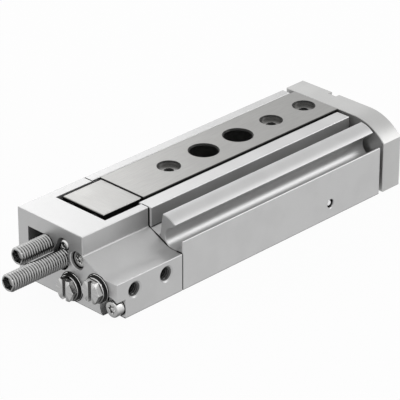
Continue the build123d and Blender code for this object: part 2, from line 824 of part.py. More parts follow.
# Retract stop: a set screw with a buffer tip that the stop block meets at rest
retract_tip_y = block_y - contact_gap - retract_tip_gap
with BuildPart() as retract_stop:
    with BuildSketch(across(front_y - retract_out)):
        with Locations((retract_x, retract_z)):
            Circle(stop_r)
    extrude(amount=-(retract_tip_y - front_y + retract_out))
    chamfer(retract_stop.edges().filter_by(GeomType.CIRCLE), stop_chamfer)
    with BuildSketch(across(front_y - retract_out)):
        with Locations((retract_x, retract_z)):
            RegularPolygon(stop_socket_r, 6)
    extrude(amount=-stop_socket_depth, mode=Mode.SUBTRACT)
    with BuildSketch(across(retract_tip_y)):
        with Locations((retract_x, retract_z)):
            Circle(buffer_r)
    extrude(amount=buffer_depth, mode=Mode.SUBTRACT)
save(retract_stop.part, "retract_stop_screw")
with BuildPart() as retract_buffer:
    with BuildSketch(across(retract_tip_y - buffer_depth)):
        with Locations((retract_x, retract_z)):
            Circle(buffer_r)
    extrude(amount=-(buffer_depth + retract_tip_gap))
    chamfer(retract_buffer.edges().sort_by(Axis.Y)[-1], edge_chamfer)
save(retract_buffer.part, "retract_stop_buffer")

# Extend stop: a long screw through the stop block, with a nut that catches it at full travel
catch_y = slide_y + stroke + contact_gap
nut_y = catch_y + washer_t
with BuildPart() as extend_stop:
    with BuildSketch(across(front_y - extend_out)):
        with Locations((extend_x, extend_z)):
            Circle(stop_r)
    extrude(amount=-(extend_out + extend_thread_in))
    chamfer(extend_stop.edges().filter_by(GeomType.CIRCLE), stop_chamfer)
    with BuildSketch(across(front_y + extend_thread_in)):
        with Locations((extend_x, extend_z)):
            Circle(extend_shank_r)
    extrude(amount=-(nut_y + nut_t + shank_end - front_y - extend_thread_in))
    with BuildSketch(across(front_y - extend_out)):
        with Locations((extend_x, extend_z)):
            RegularPolygon(stop_socket_r, 6)
    extrude(amount=-stop_socket_depth, mode=Mode.SUBTRACT)
save(extend_stop.part, "extend_stop_screw")
save(
    make_ring(extend_x, extend_z, catch_y, nut_r - nut_fit, extend_shank_r + nut_fit, washer_t),
    "extend_stop_washer",
)
with BuildPart() as extend_nut:
    with BuildSketch(across(nut_y)):
        with Locations((extend_x, extend_z)):
            Circle(nut_r)
            Rectangle(2 * nut_r, nut_flat, mode=Mode.INTERSECT)
            Circle(extend_shank_r + nut_fit, mode=Mode.SUBTRACT)
    extrude(amount=-nut_t)
save(extend_nut.part, "extend_stop_nut")

# Clamp screw between the stops
with BuildPart() as clamp_screw:
    clamp_seat_y = front_y + clamp_recess_depth
    with BuildSketch(across(clamp_seat_y)):
        with Locations((clamp_x, clamp_z)):
            Circle(clamp_head_r)
    extrude(amount=clamp_head_t)
    fillet(clamp_screw.edges().sort_by(Axis.Y)[0], clamp_head_t / 2)
    with BuildSketch(across(clamp_seat_y)):
        with Locations((clamp_x, clamp_z)):
            Circle(clamp_shank_r)
    extrude(amount=-clamp_len)
    with BuildSketch(across(clamp_seat_y - clamp_head_t)):
        with Locations((clamp_x, clamp_z)):
            RegularPolygon(clamp_drive_r, 6)
    extrude(amount=-clamp_drive_depth, mode=Mode.SUBTRACT)
save(clamp_screw.part, "stop_clamp_screw")

# Cover screws
for x, z, seat_depth, name in (
    (upper_screw_x, upper_screw_z, head_recess_depth, "cover_screw_upper"),
    (left_screw_x, left_screw_z, head_recess_depth, "cover_screw_left"),
    (corner_x, corner_screw_z, corner_pocket_depth, "cover_screw_corner"),
):
    save(make_screw(x, z, front_y + seat_depth, cover_len - seat_depth + screw_bite, 1), name)

# Blanking plugs in the front ports, with seal rings under their heads
for x, z, place in ((inner_plug_x, inner_plug_z, "inner"), (outer_plug_x, outer_plug_z, "outer")):
    ring_y = front_y + spot_depth - seal_t
    with BuildPart() as plug:
        with BuildSketch(across(ring_y)):
            with Locations((x, z)):
                RegularPolygon(plug_flat / 2, 6, major_radius=False)
        extrude(amount=plug_head_h)
        with BuildSketch(across(ring_y - plug_head_h)):
            with Locations((x, z)):
                Circle(plug_face_r)
        with BuildSketch(across(ring_y - plug_head_h + plug_cone_h)):
            with Locations((x, z)):
                Circle(plug_flange_r)
        with BuildSketch(across(ring_y)):
            with Locations((x, z)):
                Circle(plug_flange_r)
        loft(ruled=True, mode=Mode.INTERSECT)
        with BuildSketch(across(ring_y)):
            with Locations((x, z)):
                Circle(plug_flange_r)
        extrude(amount=plug_flange_t)
        with BuildSketch(across(ring_y)):
            with Locations((x, z)):
                Circle(port_r - plug_fit)
        extrude(amount=-(plug_shank_len + seal_t))
        with BuildSketch(across(ring_y - plug_head_h)):
            with Locations((x, z)):
                Rectangle(plug_slot_w, 2 * plug_flat)
        extrude(amount=-plug_slot_depth, mode=Mode.SUBTRACT)
    save(plug.part, f"blanking_plug_{place}")
    save(make_ring(x, z, ring_y, seal_r, seal_inner_r, seal_t), f"plug_seal_{place}")

# Steel ball pressed into the mouth of the cross drilling
with BuildPart() as passage_ball:
    with Locations((side_x - end_ball_r - ball_sunk, ball_drill_y, ball_drill_z)):
        Sphere(end_ball_r - ball_fit)
save(passage_ball.part, "passage_ball")

# Ball cages and their balls, one row on each side of the table
cage_y = seam_y + cage_inset
cage_mid_y = cage_y + cage_len / 2
for side, place in ((-1, "left"), (1, "right")):
    with BuildPart() as ball_cage:
        with BuildSketch(Plane.YZ.offset(side * ball_x - cage_t / 2)):
            with Locations((cage_mid_y, ball_z)):
                Rectangle(cage_len, cage_h)
                with GridLocations(ball_pitch, 1, ball_count, 1):
                    Circle(ball_r + pocket_clear, mode=Mode.SUBTRACT)
        extrude(amount=cage_t)
    save(ball_cage.part, f"ball_cage_{place}")
    with BuildPart() as guide_balls:
        with Locations((side * ball_x, cage_mid_y, ball_z)):
            with GridLocations(1, ball_pitch, 1, ball_count):
                Sphere(ball_r)
    save(guide_balls.part, f"guide_balls_{place}")
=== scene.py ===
"""Looks of the pneumatic slide table: finishes, threads, sockets and rounded heads."""

from __future__ import annotations

import json
import logging
import math
from collections.abc import Callable, Iterable, Sequence
from dataclasses import dataclass, field
from enum import Enum
from typing import Any

import bmesh
import bpy
from mathutils import Euler, Matrix, Vector

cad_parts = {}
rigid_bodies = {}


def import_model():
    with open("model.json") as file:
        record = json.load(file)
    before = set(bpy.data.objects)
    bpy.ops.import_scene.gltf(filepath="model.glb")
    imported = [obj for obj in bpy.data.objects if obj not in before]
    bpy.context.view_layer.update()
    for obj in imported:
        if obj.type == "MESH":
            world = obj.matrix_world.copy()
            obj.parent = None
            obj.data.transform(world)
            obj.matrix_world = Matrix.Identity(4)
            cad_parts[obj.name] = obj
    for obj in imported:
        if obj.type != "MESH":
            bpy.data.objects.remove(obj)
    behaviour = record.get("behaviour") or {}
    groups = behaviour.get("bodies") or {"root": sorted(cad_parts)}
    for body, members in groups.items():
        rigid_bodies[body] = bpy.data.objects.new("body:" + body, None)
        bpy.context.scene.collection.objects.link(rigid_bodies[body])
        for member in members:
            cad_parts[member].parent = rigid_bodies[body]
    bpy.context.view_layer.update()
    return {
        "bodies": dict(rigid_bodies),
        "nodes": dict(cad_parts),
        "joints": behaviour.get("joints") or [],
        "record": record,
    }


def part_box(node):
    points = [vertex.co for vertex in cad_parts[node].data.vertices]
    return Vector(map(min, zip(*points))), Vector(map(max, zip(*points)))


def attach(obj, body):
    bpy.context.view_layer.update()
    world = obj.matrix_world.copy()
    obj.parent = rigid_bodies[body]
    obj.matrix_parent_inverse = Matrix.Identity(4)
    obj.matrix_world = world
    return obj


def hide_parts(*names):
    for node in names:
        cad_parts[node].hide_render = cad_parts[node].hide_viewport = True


LOG = logging.getLogger("slide_table")
MM = 0.001

SHARP_EDGE_DEG = 32.0
SOCKET_TIP_RADIUS = 0.05 * MM
PORT_PITCH = 0.8 * MM
PORT_MOUTH = 0.28 * MM
TABLE_PITCH = 0.7 * MM
BUFFER_SEAT = 2.5 * MM
EXTEND_THREAD = 30.1 * MM
EXTEND_SHANK_RADIUS = 1.9 * MM

# Reaches and samples of the shade painted into holes, recesses, narrow grooves and seams, and its near-black
# colour.
WIDE_GAP = 5.0 * MM
NARROW_GAP = 0.5 * MM
GAP_SAMPLES = 12
PAINTED_SHADE_COLOUR = (0.006, 0.006, 0.006)
WHITE = (1.0, 1.0, 1.0, 1.0)
NOISE_MIDDLE = 0.5
MIDDLE_STEP = (0.35, 0.65)
LOW_DETAIL = 2.0
MEDIUM_DETAIL = 3.0
HIGH_DETAIL = 4.0

Colour = tuple[float, float, float]
Point = tuple[float, float, float]
Span = tuple[float, float]


class Wire:
    """A number in a material that varies over the surface, worked with in plain expressions."""

    def __init__(self, sheet: NodeSheet, socket: bpy.types.NodeSocket) -> None:
        """Keeps the sheet that the value belongs to and the socket that gives it."""
        self.sheet = sheet
        self.socket = socket

    def _math(self, operation: str, first: Operand, second: Operand) -> Wire:
        """Adds one Math node.

        Args:
            operation: Name of the operation.
            first: Left-hand value.
            second: Right-hand value.

        Returns:
            The node's result.
        """
        node = self.sheet.node("ShaderNodeMath", {"operation": operation}, {0: first, 1: second})
        return Wire(self.sheet, node.outputs[0])

    def __add__(self, other: Operand) -> Wire:
        """Sum."""
        return self._math("ADD", self, other)

    def __radd__(self, other: Operand) -> Wire:
        """Sum, with the plain number first."""
        return self._math("ADD", other, self)

    def __sub__(self, other: Operand) -> Wire:
        """Difference."""
        return self._math("SUBTRACT", self, other)

    def __rsub__(self, other: Operand) -> Wire:
        """Difference, with the plain number first."""
        return self._math("SUBTRACT", other, self)

    def __mul__(self, other: Operand) -> Wire:
        """Product."""
        return self._math("MULTIPLY", self, other)

    def __rmul__(self, other: Operand) -> Wire:
        """Product, with the plain number first."""
        return self._math("MULTIPLY", other, self)

    def or_more(self, other: Operand) -> Wire:
        """The larger of two values."""
        return self._math("MAXIMUM", self, other)

    def swing(self, amount: float) -> Wire:
        """How far a noise lies from its middle, times an amount."""
        return (self - NOISE_MIDDLE) * amount

    def step_up(self, low: float, high: float) -> Wire:
        """Smooth step of the value.

        Args:
            low: Value where the result is 0.
            high: Value where the result is 1.

        Returns:
            A value from 0 to 1.
        """
        node = self.sheet.node(
            "ShaderNodeMapRange",
            {"interpolation_type": "SMOOTHSTEP"},
            {"Value": self, "From Min": low, "From Max": high},
        )
        return Wire(self.sheet, node.outputs[0])


Operand = Wire | float


def scaled(colour: Colour, factor: float) -> Colour:
    """A colour with each part multiplied by a factor."""
    red, green, blue = colour
    return (red * factor, green * factor, blue * factor)


class NodeSheet:
    """The node tree of one material or world, with short ways to add what it needs."""

    def __init__(self, name: str) -> None:
        """Starts an empty material.

        Args:
            name: Name of the material.
        """
        self.material = bpy.data.materials.new(name)
        self._clear(self.material)
        place = self.node("ShaderNodeTexCoord", {}, {})
        self.place = place.outputs["Object"]

    @classmethod
    def of_world(cls, world: bpy.types.World) -> NodeSheet:
        """Starts an empty sheet for a world.

        Args:
            world: The world.

        Returns:
            The sheet.
        """
        sheet = cls.__new__(cls)
        sheet._clear(world)
        return sheet

    def _clear(self, owner: bpy.types.Material | bpy.types.World) -> None:
        """Empties the owner's node tree and works on it.

        Args:
            owner: The material or world.
        """
        owner.use_nodes = True
        self.tree = owner.node_tree
        self.tree.nodes.clear()

    def node(self, kind: str, settings: dict[str, Any], values: dict[Any, Any]) -> bpy.types.Node:
        """Adds a node, sets it, and then fills or links its sockets.

        Args:
            kind: Type of the node.
            settings: Its settings by name.
            values: Its inputs by name, identifier or index: plain values, sockets or wires.

        Returns:
            The node.
        """
        node = self.tree.nodes.new(kind)
        for key, value in settings.items():
            setattr(node, key, value)
        for key, value in values.items():
            socket = self._find(node, key)
            if isinstance(value, Wire):
                value = value.socket
            if isinstance(value, bpy.types.NodeSocket):
                self.tree.links.new(value, socket)
            else:
                socket.default_value = value
        return node

    @staticmethod
    def _find(node: bpy.types.Node, key: str | int) -> bpy.types.NodeSocket:
        """Finds an input of a node.

        Args:
            node: The node.
            key: The input's index, identifier or name.

        Returns:
            The input.
        """
        if isinstance(key, int):
            return node.inputs[key]
        for socket in node.inputs:
            if socket.identifier == key:
                return socket
        return node.inputs[key]

    def direct_view(self) -> Wire:
        """Tells where the camera sees the place itself, in a mirror or through glass.

        Returns:
            1 there, or else 0.
        """
        path = self.node("ShaderNodeLightPath", {}, {})
        seen = Wire(self, path.outputs["Is Camera Ray"])
        for ray in ("Is Glossy Ray", "Is Transmission Ray"):
            seen = seen.or_more(Wire(self, path.outputs[ray]))
        return seen

    def stretched(self, scale: Point) -> bpy.types.NodeSocket:
        """Object coordinates multiplied per axis.

        Args:
            scale: Factor along X, Y and Z.

        Returns:
            The vector socket.
        """
        node = self.node("ShaderNodeVectorMath", {"operation": "MULTIPLY"}, {0: self.place, 1: scale})
        return node.outputs[0]

    def noise(self, place: bpy.types.NodeSocket, cell: float, detail: float) -> Wire:
        """Noise about its middle of 0.5.

        Args:
            place: Coordinates.
            cell: Size of its largest spots in metres.
            detail: Number of finer octaves.

        Returns:
            The noise.
        """
        node = self.node("ShaderNodeTexNoise", {}, {"Vector": place, "Scale": 1.0 / cell, "Detail": detail})
        return Wire(self, node.outputs[0])

    def openness(self, reach: float, alone: bool) -> Wire:
        """How freely light reaches a place, from 0 in a deep hole to 1 on an open face.

        Args:
            reach: How far away another surface still counts, in metres.
            alone: Whether only surfaces of the same piece count.

        Returns:
            The openness.
        """
        settings = {"samples": GAP_SAMPLES, "only_local": alone}
        node = self.node("ShaderNodeAmbientOcclusion", settings, {"Distance": reach})
        return Wire(self, node.outputs["AO"])

    def upward(self) -> Wire:
        """How far a face looks up.

        Returns:
            A value from -1 for an underside to 1 for a top.
        """
        face = self.node("ShaderNodeNewGeometry", {}, {})
        parts = self.node("ShaderNodeSeparateXYZ", {}, {0: face.outputs["Normal"]})
        return Wire(self, parts.outputs["Z"])

    def blend(self, share: Operand, first: Any, second: Any) -> bpy.types.NodeSocket:
        """Mixes two colours.

        Args:
            share: Share of the second colour.
            first: First colour, as a tuple or a socket.
            second: Second colour, as a tuple or a socket.

        Returns:
            The colour socket.
        """
        values = {
            "Factor_Float": share,
            "A_Color": (*first, 1.0) if isinstance(first, tuple) else first,
            "B_Color": (*second, 1.0) if isinstance(second, tuple) else second,
        }
        node = self.node("ShaderNodeMix", {"data_type": "RGBA"}, values)
        return next(out for out in node.outputs if out.identifier == "Result_Color")

    def paint_gap_shade(
        self,
        tone: bpy.types.NodeSocket,
        reach: float,
        step: Span,
        alone: bool = True,
    ) -> bpy.types.NodeSocket:
        """Paints shade into a colour in grooves and holes, towards near black where little light gets in.

        Args:
            tone: The colour on open faces.
            reach: How wide a groove or hole counts, in metres.
            step: Openness where the painted shade ends and where the full tone starts.
            alone: Whether only the piece's own grooves count, and not its seams with others.

        Returns:
            The colour socket.
        """
        return self.blend(self.openness(reach, alone).step_up(*step), PAINTED_SHADE_COLOUR, tone)

    def rounded(self, radius: float, samples: int) -> bpy.types.NodeSocket:
        """The normal that softly rounded edges would have.

        Args:
            radius: Radius of the edges in metres.
            samples: Number of samples that it is worked out from.

        Returns:
            The normal socket.
        """
        return self.node("ShaderNodeBevel", {"samples": samples}, {"Radius": radius}).outputs[0]

    def bump(self, height: Wire, depth: float, under: bpy.types.NodeSocket | None) -> bpy.types.NodeSocket:
        """Turns a height from 0 to 1 into a normal.

        Args:
            height: The height.
            depth: Real height of one unit, in metres.
            under: Normal that the bump starts from.

        Returns:
            The normal socket.
        """
        values: dict[Any, Any] = {"Height": height, "Distance": depth, "Strength": 1.0}
        if under is not None:
            values["Normal"] = under
        return self.node("ShaderNodeBump", {}, values).outputs[0]

    def close(
        self,
        tone: bpy.types.NodeSocket,
        rough: Wire,
        normal: bpy.types.NodeSocket,
        constants: dict[str, float],
    ) -> bpy.types.Material:
        """Adds the surface shader and the output.

        Args:
            tone: The base colour.
            rough: The roughness.
            normal: The normal.
            constants: Values that are the same all over the surface, by input.

        Returns:
            The finished material.
        """
        values = {**constants, "Base Color": tone, "Roughness": rough, "Normal": normal}
        shader = self.node("ShaderNodeBsdfPrincipled", {}, values)
        self.node("ShaderNodeOutputMaterial", {}, {"Surface": shader.outputs[0]})
        return self.material


class Lay(Enum):
    """Direction of the fine lines that a tool or a die leaves."""

    ACROSS = (0.02, 1.0, 1.0)
    ALONG = (1.0, 0.02, 1.0)
    UPRIGHT = (1.0, 1.0, 0.02)


@dataclass(frozen=True)
class BlastedMetal:
    """Bead-blasted and anodised aluminium: fine even grain, a soft sheen, and painted shade in grooves,
    holes and, on some pieces, seams.
    """

    name: str
    colour: Colour
    roughness: float = 0.42
    metallic: float = 0.8
    grain: float = 0.16 * MM
    grain_depth: float = 0.004 * MM
    grain_gloss: float = 0.08
    speck_step: Span = (0.55, 0.7)
    speck_tone: float = 0.9
    speck_cover: float = 0.7
    cloud: float = 9 * MM
    cloud_tone: float = 0.95
    cloud_gloss: float = 0.1
    lay: Lay = Lay.ALONG
    line: float = 0.4 * MM
    line_depth: float = 0.0015 * MM
    edge_radius: float = 0.1 * MM
    edge_samples: int = 6
    gap_shade_step: Span = (0.06, 0.34)
    groove_shade_step: Span = (0.75, 0.99)
    shades_seams: bool = False

    def material(self) -> bpy.types.Material:
        """Builds the material.

        Returns:
            The material.
        """
        sheet = NodeSheet(self.name)
        grain = sheet.noise(sheet.place, self.grain, LOW_DETAIL)
        cloud = sheet.noise(sheet.place, self.cloud, MEDIUM_DETAIL)
        lines = sheet.noise(sheet.stretched(self.lay.value), self.line, LOW_DETAIL)
        rounded = sheet.rounded(self.edge_radius, self.edge_samples)
        normal = sheet.bump(grain, self.grain_depth, rounded)
        normal = sheet.bump(lines, self.line_depth, normal)
        clouded = scaled(self.colour, self.cloud_tone)
        tone = sheet.blend(cloud.step_up(*MIDDLE_STEP), clouded, self.colour)
        speck = scaled(self.colour, self.speck_tone)
        tone = sheet.blend(grain.step_up(*self.speck_step) * self.speck_cover, tone, speck)
        # Painted shade: narrow grooves, and on some pieces the seams with neighbouring pieces, then wider
        # holes and recesses go darker.
        tone = sheet.paint_gap_shade(tone, NARROW_GAP, self.groove_shade_step, alone=not self.shades_seams)
        tone = sheet.paint_gap_shade(tone, WIDE_GAP, self.gap_shade_step)
        rough = self.roughness + cloud.swing(self.cloud_gloss) + grain.swing(self.grain_gloss)
        return sheet.close(tone, rough, normal, {"Metallic": self.metallic})


@dataclass(frozen=True)
class GroundMetal:
    """Ground or turned metal: fine lines in one direction, free side faces painted darker than the top as
    shade, and painted shade in holes.
    """

    name: str
    colour: Colour
    roughness: float = 0.32
    metallic: float = 0.9
    lay: Lay = Lay.ALONG
    line: float = 0.12 * MM
    line_depth: float = 0.004 * MM
    line_tone: float = 0.86
    line_gloss: float = 0.1
    cloud: float = 7 * MM
    cloud_gloss: float = 0.12
    edge_radius: float = 0.15 * MM
    edge_samples: int = 4
    side_shade_tone: float = 1.0
    top_step: Span = (0.78, 0.95)
    open_step: Span = (0.5, 0.75)
    gap_reach: float = 9 * MM
    gap_shade_step: Span = (0.02, 0.6)

    def material(self) -> bpy.types.Material:
        """Builds the material.

        Returns:
            The material.
        """
        sheet = NodeSheet(self.name)
        lines = sheet.noise(sheet.stretched(self.lay.value), self.line, MEDIUM_DETAIL)
        cloud = sheet.noise(sheet.place, self.cloud, MEDIUM_DETAIL)
        rounded = sheet.rounded(self.edge_radius, self.edge_samples)
        normal = sheet.bump(lines, self.line_depth, rounded)
        lined = scaled(self.colour, self.line_tone)
        tone = sheet.blend(lines.step_up(*MIDDLE_STEP), lined, self.colour)
        # Painted shade: free-standing faces that don't look up get a darker share of the colour, and deep
        # holes go towards near black.
        room = sheet.openness(self.gap_reach, alone=True)
        painted_side_shade = (1.0 - sheet.upward().step_up(*self.top_step)) * room.step_up(*self.open_step)
        tone = sheet.blend(painted_side_shade, tone, scaled(self.colour, self.side_shade_tone))
        tone = sheet.blend(room.step_up(*self.gap_shade_step), PAINTED_SHADE_COLOUR, tone)
        rough = self.roughness + cloud.swing(self.cloud_gloss) + lines.swing(self.line_gloss)
        return sheet.close(tone, rough, normal, {"Metallic": self.metallic})


@dataclass(frozen=True)
class PlatedMetal:
    """Bright plated or polished metal, with a painted highlight on upward faces, painted shade on downward
    faces and in its grooves and holes, and random stains.
    """

    name: str
    colour: Colour
    roughness: float = 0.22
    metallic: float = 1.0
    top_light_swing: float = 0.0
    top_light_step: Span = (-0.5, 0.6)
    stain: float = 2.5 * MM
    stain_step: Span = (0.5, 0.75)
    stain_tone: float = 0.86
    stain_cover: float = 0.3
    groove_shade_step: Span = (0.45, 0.95)
    gap_shade_step: Span = (0.12, 0.5)
    mark: float = 0.6 * MM
    mark_depth: float = 0.003 * MM
    mark_gloss: float = 0.16

    def material(self) -> bpy.types.Material:
        """Builds the material.

        Returns:
            The material.
        """
        sheet = NodeSheet(self.name)
        marks = sheet.noise(sheet.place, self.mark, HIGH_DETAIL)
        stains = sheet.noise(sheet.place, self.stain, LOW_DETAIL)
        normal = sheet.bump(marks, self.mark_depth, None)
        # Painted light: faces that look up get a brighter colour and faces that look down a darker one.
        painted_lit_tone = scaled(self.colour, 1.0 + self.top_light_swing)
        painted_shaded_tone = scaled(self.colour, 1.0 - self.top_light_swing)
        tone = sheet.blend(sheet.upward().step_up(*self.top_light_step), painted_shaded_tone, painted_lit_tone)
        stained = scaled(self.colour, self.stain_tone)
        tone = sheet.blend(stains.step_up(*self.stain_step) * self.stain_cover, tone, stained)
        # Painted shade in thread roots, grooves and holes.
        tone = sheet.paint_gap_shade(tone, NARROW_GAP, self.groove_shade_step)
        tone = sheet.paint_gap_shade(tone, WIDE_GAP, self.gap_shade_step)
        rough = self.roughness + marks.swing(self.mark_gloss)
        return sheet.close(tone, rough, normal, {"Metallic": self.metallic})


@dataclass(frozen=True)
class Elastomer:
    """Rubber or matt moulded polymer, with a little dust."""

    name: str
    colour: Colour
    roughness: float = 0.55
    gloss: float = 0.4
    pore: float = 0.25 * MM
    pore_depth: float = 0.008 * MM
    pore_gloss: float = 0.2
    dust: Colour = (0.14, 0.14, 0.14)
    dust_patch: float = 1.8 * MM
    dust_step: Span = (0.45, 0.8)
    dust_cover: float = 0.3

    def material(self) -> bpy.types.Material:
        """Builds the material.

        Returns:
            The material.
        """
        sheet = NodeSheet(self.name)
        pores = sheet.noise(sheet.place, self.pore, MEDIUM_DETAIL)
        patches = sheet.noise(sheet.place, self.dust_patch, LOW_DETAIL)
        normal = sheet.bump(pores, self.pore_depth, None)
        tone = sheet.blend(patches.step_up(*self.dust_step) * self.dust_cover, self.colour, self.dust)
        rough = self.roughness + pores.swing(self.pore_gloss)
        return sheet.close(tone, rough, normal, {"Specular IOR Level": self.gloss})


Finish = BlastedMetal | GroundMetal | PlatedMetal | Elastomer

FINISHES: tuple[Finish, ...] = (
    BlastedMetal("housing_aluminium", (0.55, 0.55, 0.55), shades_seams=True),
    BlastedMetal("cover_aluminium", (0.52, 0.52, 0.52), lay=Lay.ACROSS, shades_seams=True),
    BlastedMetal("yoke_aluminium", (0.52, 0.52, 0.515), lay=Lay.ACROSS),
    # The table's and the stop block's side faces are painted nearly black as the shade of the narrow gaps
    # round them.
    GroundMetal("table_steel", (0.325, 0.322, 0.315), side_shade_tone=0.08),
    GroundMetal(
        "stop_block_steel",
        (0.33, 0.327, 0.32),
        lay=Lay.ACROSS,
        side_shade_tone=0.1,
        top_step=(0.3, 0.65),
    ),
    GroundMetal("hardened_steel", (0.52, 0.52, 0.53), roughness=0.25),
    GroundMetal("piston_aluminium", (0.72, 0.72, 0.73), lay=Lay.UPRIGHT),
    GroundMetal("gland_aluminium", (0.74, 0.74, 0.75), lay=Lay.UPRIGHT),
    GroundMetal("spring_steel", (0.34, 0.34, 0.36), roughness=0.35),
    PlatedMetal("bright_screw_steel", (0.44, 0.439, 0.435), top_light_swing=0.8, gap_shade_step=(0.0, 0.12)),
    PlatedMetal("stop_screw_steel", (0.3, 0.3, 0.298), roughness=0.2, top_light_swing=0.8, gap_shade_step=(0.0, 0.12)),
    PlatedMetal("plug_nickel", (0.47, 0.469, 0.465), roughness=0.2, top_light_swing=0.8, gap_shade_step=(0.0, 0.2)),
    # The threads in the air ports and in the table's tapped holes are painted near black as the shade inside
    # the holes.
    PlatedMetal("port_thread", (0.09, 0.09, 0.09), roughness=0.3),
    PlatedMetal("table_thread", (0.03, 0.03, 0.03), roughness=0.3),
    PlatedMetal("rod_chrome", (0.48, 0.48, 0.49), roughness=0.1, top_light_swing=0.35, mark_depth=0.001 * MM),
    PlatedMetal("ball_steel", (0.76, 0.76, 0.77), roughness=0.06, mark_depth=0.0005 * MM),
    Elastomer("magnet_ferrite", (0.06, 0.06, 0.065), roughness=0.5),
    Elastomer("cage_polymer", (0.05, 0.05, 0.055), roughness=0.45),
    Elastomer("seal_rubber", (0.006, 0.006, 0.006), gloss=0.2, dust=(0.015, 0.015, 0.015)),
    Elastomer("buffer_polymer", (0.03, 0.03, 0.032), roughness=0.5),
)


@dataclass
class Paint:
    """Makes each finish once and gives it to the pieces by its name."""

    finishes: dict[str, Finish] = field(default_factory=lambda: {row.name: row for row in FINISHES})
    made: dict[str, bpy.types.Material] = field(default_factory=dict)

    def of(self, name: str) -> bpy.types.Material:
        """The material of one finish.

        Args:
            name: Name of the finish.

        Returns:
            The material.
        """
        if name not in self.made:
            self.made[name] = self.finishes[name].material()
        return self.made[name]

    def dress_nodes(self, frame: dict[str, Any]) -> None:
        """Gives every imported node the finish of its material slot.

        Args:
            frame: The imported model.
        """
        for row in frame["record"]["subparts"]:
            for place in frame["nodes"][row["node"]].material_slots:
                place.material = self.of(row["material_slot"])


Outline = Callable[[float], float]


def round_outline(radius: float) -> Outline:
    """Outline of a circle."""
    return lambda angle: radius


def hex_outline(apothem: float) -> Outline:
    """Outline of a hexagon with corners at angle 0, 60 and so on.

    Args:
        apothem: Half its width across flats.

    Returns:
        Its radius at each angle.
    """
    sixth = math.pi / 3
    return lambda angle: apothem / math.cos((angle % sixth) - sixth / 2)


def lobed_outline(middle: float, swing: float) -> Outline:
    """Outline of a six-lobed drive.

    Args:
        middle: Mean radius.
        swing: How far the lobes stand out from it.

    Returns:
        Its radius at each angle.
    """
    return lambda angle: middle + swing * math.cos(6 * angle)


def held_in(outline: Outline, radius: float) -> Outline:
    """An outline cut off at a radius, as a cone turned on a piece's end does."""
    return lambda angle: min(outline(angle), radius)


@dataclass(frozen=True)
class Section:
    """One cross-section of a turned piece: how far along its axis, and its outline."""

    along: float
    outline: Outline


@dataclass(frozen=True)
class DriverSocket:
    """The hole for a driver in a screw's outer end."""

    wall: Outline
    mouth: Outline
    depth: float
    tip: float
    lip: float

    def sections(self) -> list[Section]:
        """Lists its cross-sections.

        Returns:
            The cross-sections from the bottom to the mouth.
        """
        return [
            Section(self.depth + self.tip, round_outline(SOCKET_TIP_RADIUS)),
            Section(self.depth, self.wall),
            Section(self.lip, self.wall),
            Section(0.0, self.mouth),
        ]


@dataclass(frozen=True)
class Spindle:
    """An axis that pieces are turned about: its start, its direction and where its angles start."""

    start: Vector
    forward: Vector = Vector((0.0, 1.0, 0.0))
    zero: Vector = Vector((1.0, 0.0, 0.0))

    @classmethod
    def through(cls, node: str, forward: int = 1) -> Spindle:
        """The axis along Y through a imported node.

        Args:
            node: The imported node.
            forward: 1 towards +Y or -1 towards -Y.

        Returns:
            The axis, from the node's end.
        """
        low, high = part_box(node)
        middle = (low + high) / 2
        start = Vector((middle.x, low.y if forward > 0 else high.y, middle.z))
        return cls(start, Vector((0.0, float(forward), 0.0)))

    def point(self, along: float, radius: float, angle: float) -> Vector:
        """A point about the axis.

        Args:
            along: Distance along the axis.
            radius: Distance from it.
            angle: Angle round it.

        Returns:
            The point.
        """
        quarter = self.zero.cross(self.forward)
        side = self.zero * math.cos(angle) + quarter * math.sin(angle)
        return self.start + self.forward * along + side * radius


def round_angles(points: int) -> list[float]:
    """Angles spread evenly over a full turn."""
    return [2 * math.pi * index / points for index in range(points)]


def skin(
    mesh: bmesh.types.BMesh,
    first: Sequence[bmesh.types.BMVert],
    second: Sequence[bmesh.types.BMVert],
) -> None:
    """Joins two closed loops of points by faces.

    Args:
        mesh: The mesh that they are in.
        first: One loop.
        second: The other loop, with as many points.
    """
    count = len(first)
    for index in range(count):
        after = (index + 1) % count
        mesh.faces.new((first[index], first[after], second[after], second[index]))


def shade_smooth(data: bpy.types.Mesh) -> None:
    """Shades a mesh smooth and keeps its sharp edges."""
    data.polygons.foreach_set("use_smooth", [True] * len(data.polygons))
    data.set_sharp_from_angle(angle=math.radians(SHARP_EDGE_DEG))


def finish_mesh(name: str, mesh: bmesh.types.BMesh) -> bpy.types.Object:
    """Turns a work mesh into a smooth-shaded object.

    Args:
        name: Name of the object.
        mesh: The work mesh, which is freed.

    Returns:
        The new object.
    """
    data = bpy.data.meshes.new(name)
    mesh.to_mesh(data)
    mesh.free()
    shade_smooth(data)
    piece = bpy.data.objects.new(name, data)
    bpy.context.scene.collection.objects.link(piece)
    return piece


